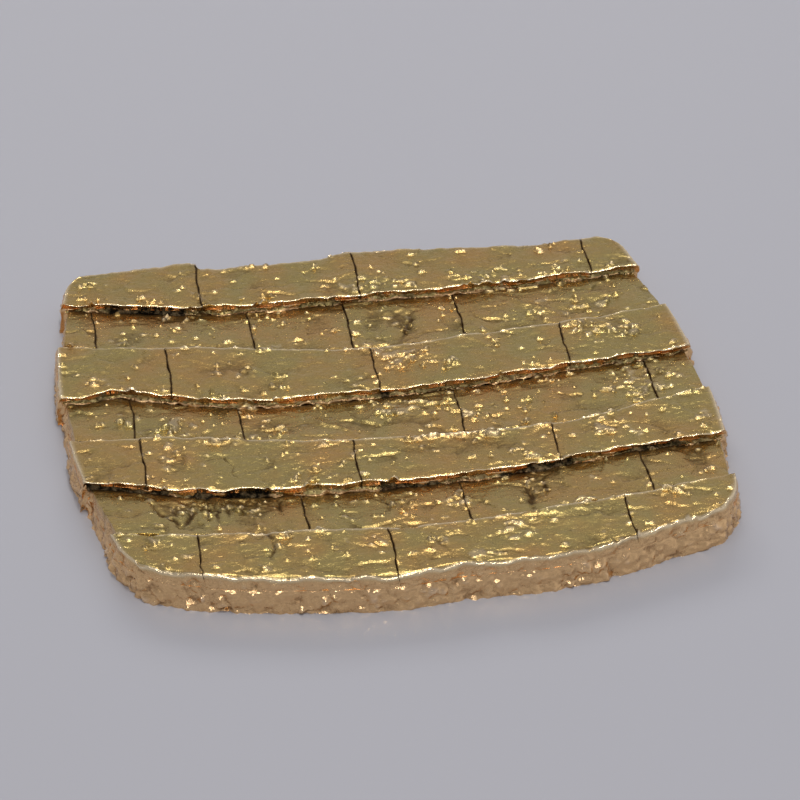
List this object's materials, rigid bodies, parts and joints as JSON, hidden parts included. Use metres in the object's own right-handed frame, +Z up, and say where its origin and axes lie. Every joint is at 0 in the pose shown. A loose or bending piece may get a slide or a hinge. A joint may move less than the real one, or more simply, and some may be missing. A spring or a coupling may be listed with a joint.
{
  "type": "paperweight",
  "caption": "Low brass desk paperweight: a cast slab faced with lapped courses of small rectangular blocks, with rounded corners and a flat underside.",
  "frame": {"origin": "centre of the underside", "axes": "+X along the courses, +Y from the front course towards the back course, +Z up from the desk"},
  "size_m": [0.09, 0.078, 0.005],
  "materials": {
    "slab_brass": "cast, rough and granular on the lower walls",
    "block_brass": "rough-hewn, burnished on the high spots, dark in the hollows",
    "braze": "granular, dark and dull"
  },
  "bodies": {
    "root": {"base_slab": "slab_brass", "tier1_braze_seam": "braze", "tier1_lip_block_1": "block_brass", "tier1_lip_block_2": "block_brass", "tier1_lip_block_3": "block_brass", "tier1_lip_block_4": "block_brass", "tier2_bed_block_1": "block_brass", "tier2_bed_block_2": "block_brass", "tier2_bed_block_3": "block_brass", "tier2_bed_block_4": "block_brass", "tier2_bed_block_5": "block_brass", "tier2_braze_seam": "braze", "tier2_lip_block_1": "block_brass", "tier2_lip_block_2": "block_brass", "tier2_lip_block_3": "block_brass", "tier2_lip_block_4": "block_brass", "tier3_bed_block_1": "block_brass", "tier3_bed_block_2": "block_brass", "tier3_bed_block_3": "block_brass", "tier3_bed_block_4": "block_brass", "tier3_bed_block_5": "block_brass", "tier3_braze_seam": "braze", "tier3_lip_block_1": "block_brass", "tier3_lip_block_2": "block_brass", "tier3_lip_block_3": "block_brass", "tier3_lip_block_4": "block_brass", "tier4_bed_block_1": "block_brass", "tier4_bed_block_2": "block_brass", "tier4_bed_block_3": "block_brass", "tier4_bed_block_4": "block_brass", "tier4_lip_block_1": "block_brass", "tier4_lip_block_2": "block_brass", "tier4_lip_block_3": "block_brass", "tier4_lip_block_4": "block_brass"}
  },
  "joints": []
}
